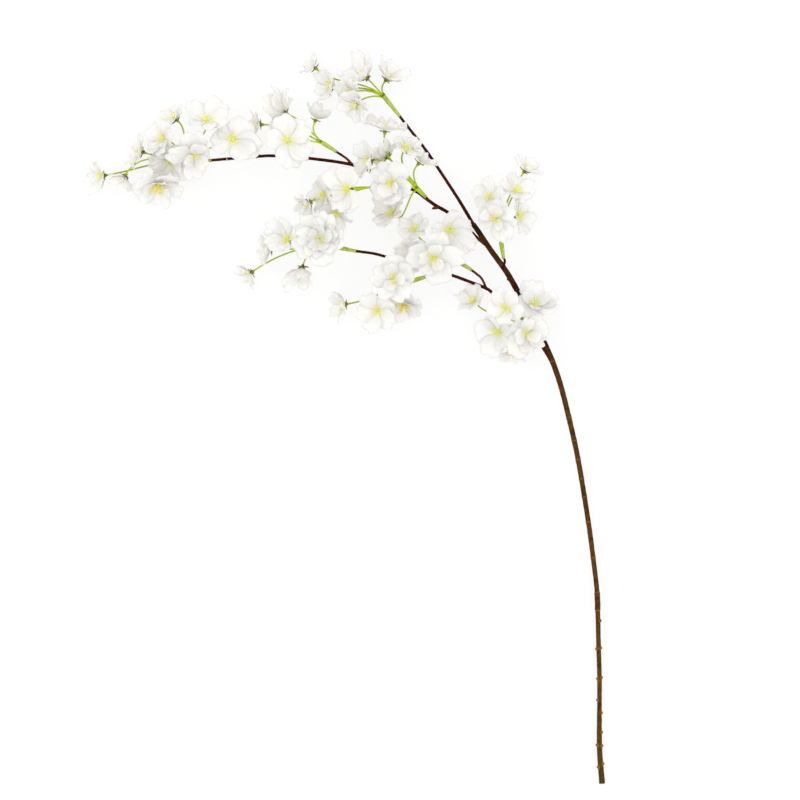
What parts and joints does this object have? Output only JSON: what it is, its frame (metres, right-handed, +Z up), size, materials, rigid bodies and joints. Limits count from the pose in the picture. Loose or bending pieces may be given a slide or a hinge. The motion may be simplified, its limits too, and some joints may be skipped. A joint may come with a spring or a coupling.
{
  "type": "artificial cherry blossom spray",
  "caption": "Long cherry blossom spray lying flat: a bent olive-brown stem with three red-brown branches, green stalk picks and white five-petalled fabric blossoms.",
  "frame": {"origin": "centre of the spray's footprint, on the surface that it lies on", "axes": "+Y from the foot of the stem up the spray, along its longest extent; +X towards the side that the stem's foot is on; +Z up from the surface"},
  "size_m": [0.5716, 0.8072, 0.0706],
  "materials": {
    "olive_bark": "olive-brown plastic coating on a wire, with moulded node rings and blunt knobs, slightly mottled, satin",
    "red_bark": "dark reddish-brown plastic coating on thin wire twigs, satin",
    "stalk_green": "moulded yellow-green plastic stalks on a paler dusty green sleeve, satin",
    "calyx_olive": "dark olive to brown plastic calyx with five narrow sepals",
    "petal_fabric": "thin off-white woven fabric petals, heat-pressed with faint veins, slightly translucent, cream near the middle",
    "stamen_yellow": "fine lemon-yellow plastic threads with small rounded tips"
  },
  "bodies": {
    "root": {"arch_blossom_1": "petal_fabric", "arch_blossom_2": "petal_fabric", "arch_blossom_3": "petal_fabric", "arch_blossom_4": "petal_fabric", "arch_stalks": "stalk_green", "arching_branch": "red_bark", "base_blossom_1": "petal_fabric", "base_blossom_2": "petal_fabric", "base_blossom_3": "petal_fabric", "base_blossom_4": "petal_fabric", "base_blossom_5": "petal_fabric", "base_blossom_6": "petal_fabric", "base_stalks": "stalk_green", "crown_blossom_1": "petal_fabric", "crown_blossom_2": "petal_fabric", "crown_blossom_3": "petal_fabric", "crown_blossom_4": "petal_fabric", "crown_blossom_5": "petal_fabric", "crown_stalks": "stalk_green", "fork_blossom_1": "petal_fabric", "fork_blossom_2": "petal_fabric", "fork_blossom_3": "petal_fabric", "fork_blossom_4": "petal_fabric", "fork_stalks": "stalk_green", "inner_blossom_1": "petal_fabric", "inner_blossom_2": "petal_fabric", "inner_stalks": "stalk_green", "lower_blossom_1": "petal_fabric", "lower_blossom_2": "petal_fabric", "lower_blossom_3": "petal_fabric", "lower_blossom_4": "petal_fabric", "lower_branch": "red_bark", "lower_stalks": "stalk_green", "main_stem": "olive_bark", "middle_blossom_1": "petal_fabric", "middle_blossom_2": "petal_fabric", "middle_blossom_3": "petal_fabric", "middle_blossom_4": "petal_fabric", "middle_blossom_5": "petal_fabric", "middle_stalks": "stalk_green", "outer_blossom_1": "petal_fabric", "outer_blossom_2": "petal_fabric", "outer_blossom_3": "petal_fabric", "outer_blossom_4": "petal_fabric", "outer_stalks": "stalk_green", "side_blossom_1": "petal_fabric", "side_blossom_2": "petal_fabric", "side_blossom_3": "petal_fabric", "side_blossom_4": "petal_fabric", "side_blossom_5": "petal_fabric", "side_stalks": "stalk_green", "tip_blossom_1": "petal_fabric", "tip_blossom_2": "petal_fabric", "tip_blossom_3": "petal_fabric", "tip_blossom_4": "petal_fabric", "tip_blossom_5": "petal_fabric", "tip_blossom_6": "petal_fabric", "tip_blossom_7": "petal_fabric", "tip_stalks": "stalk_green", "top_branch": "red_bark"}
  },
  "joints": []
}
